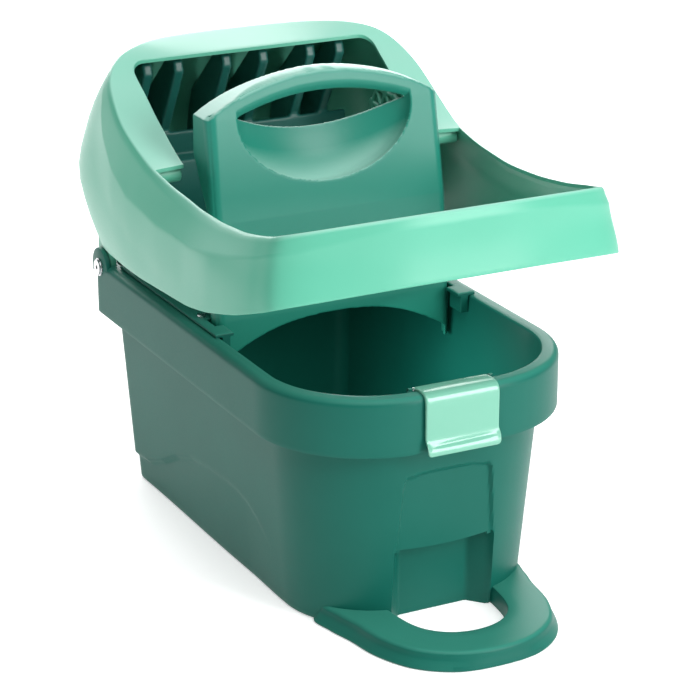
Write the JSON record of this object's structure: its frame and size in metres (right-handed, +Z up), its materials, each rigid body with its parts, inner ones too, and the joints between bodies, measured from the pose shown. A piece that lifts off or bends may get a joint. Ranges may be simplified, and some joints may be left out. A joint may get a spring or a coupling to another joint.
{
  "type": "mop press bucket",
  "caption": "Rectangular mop bucket with a foot loop, a carrying handle on its press wall, and a hinged press lever with a ribbed comb; a latch clip sits on the front rim.",
  "frame": {"origin": "middle of the tub's flat underside", "axes": "+Z up; -Y towards the foot loop and rim clip; +Y towards the lever's hinge; X across the bucket"},
  "size_m": [0.3436, 0.5615, 0.417],
  "materials": {
    "tub_green": "satin moulded polypropylene",
    "wall_green": "satin moulded polypropylene",
    "comb_green": "satin moulded polypropylene",
    "lever_mint": "semi-gloss moulded polypropylene",
    "clip_mint": "glossy moulded plastic",
    "bush_white": "natural acetal",
    "rivet_steel": "zinc-plated steel"
  },
  "bodies": {
    "tub": {"bucket": "tub_green", "press_wall": "wall_green", "drain_grid": "wall_green", "rail_screws": "rivet_steel", "clip_pin": "rivet_steel", "basket_rail_right": "wall_green", "basket_rail_left": "wall_green", "hinge_rivet_right": "rivet_steel", "hinge_rivet_left": "rivet_steel", "hinge_washer_right": "rivet_steel", "hinge_washer_left": "rivet_steel", "clip_bearing_right": "tub_green", "clip_bearing_left": "tub_green"},
    "lever": {"press_lever": "lever_mint", "press_comb": "comb_green", "side_lattice_right": "lever_mint", "side_lattice_left": "lever_mint", "hinge_bush_right": "bush_white", "hinge_bush_left": "bush_white", "guide_boss_right": "lever_mint", "guide_boss_left": "lever_mint"},
    "clip": {"rim_clip": "clip_mint"}
  },
  "joints": [
    {"name": "lever_hinge", "type": "hinge", "parent": "tub", "child": "lever", "pos_m": [0, 0.2058, 0.2068], "axis": [1, 0, 0], "range_deg": [0, 12]},
    {"name": "clip_hinge", "type": "hinge", "parent": "tub", "child": "clip", "pos_m": [0, -0.2064, 0.2094], "axis": [1, 0, 0], "range_deg": [-35, 0], "stiffness_Nm_per_rad": 0.05, "springref_deg": 34.38}
  ]
}
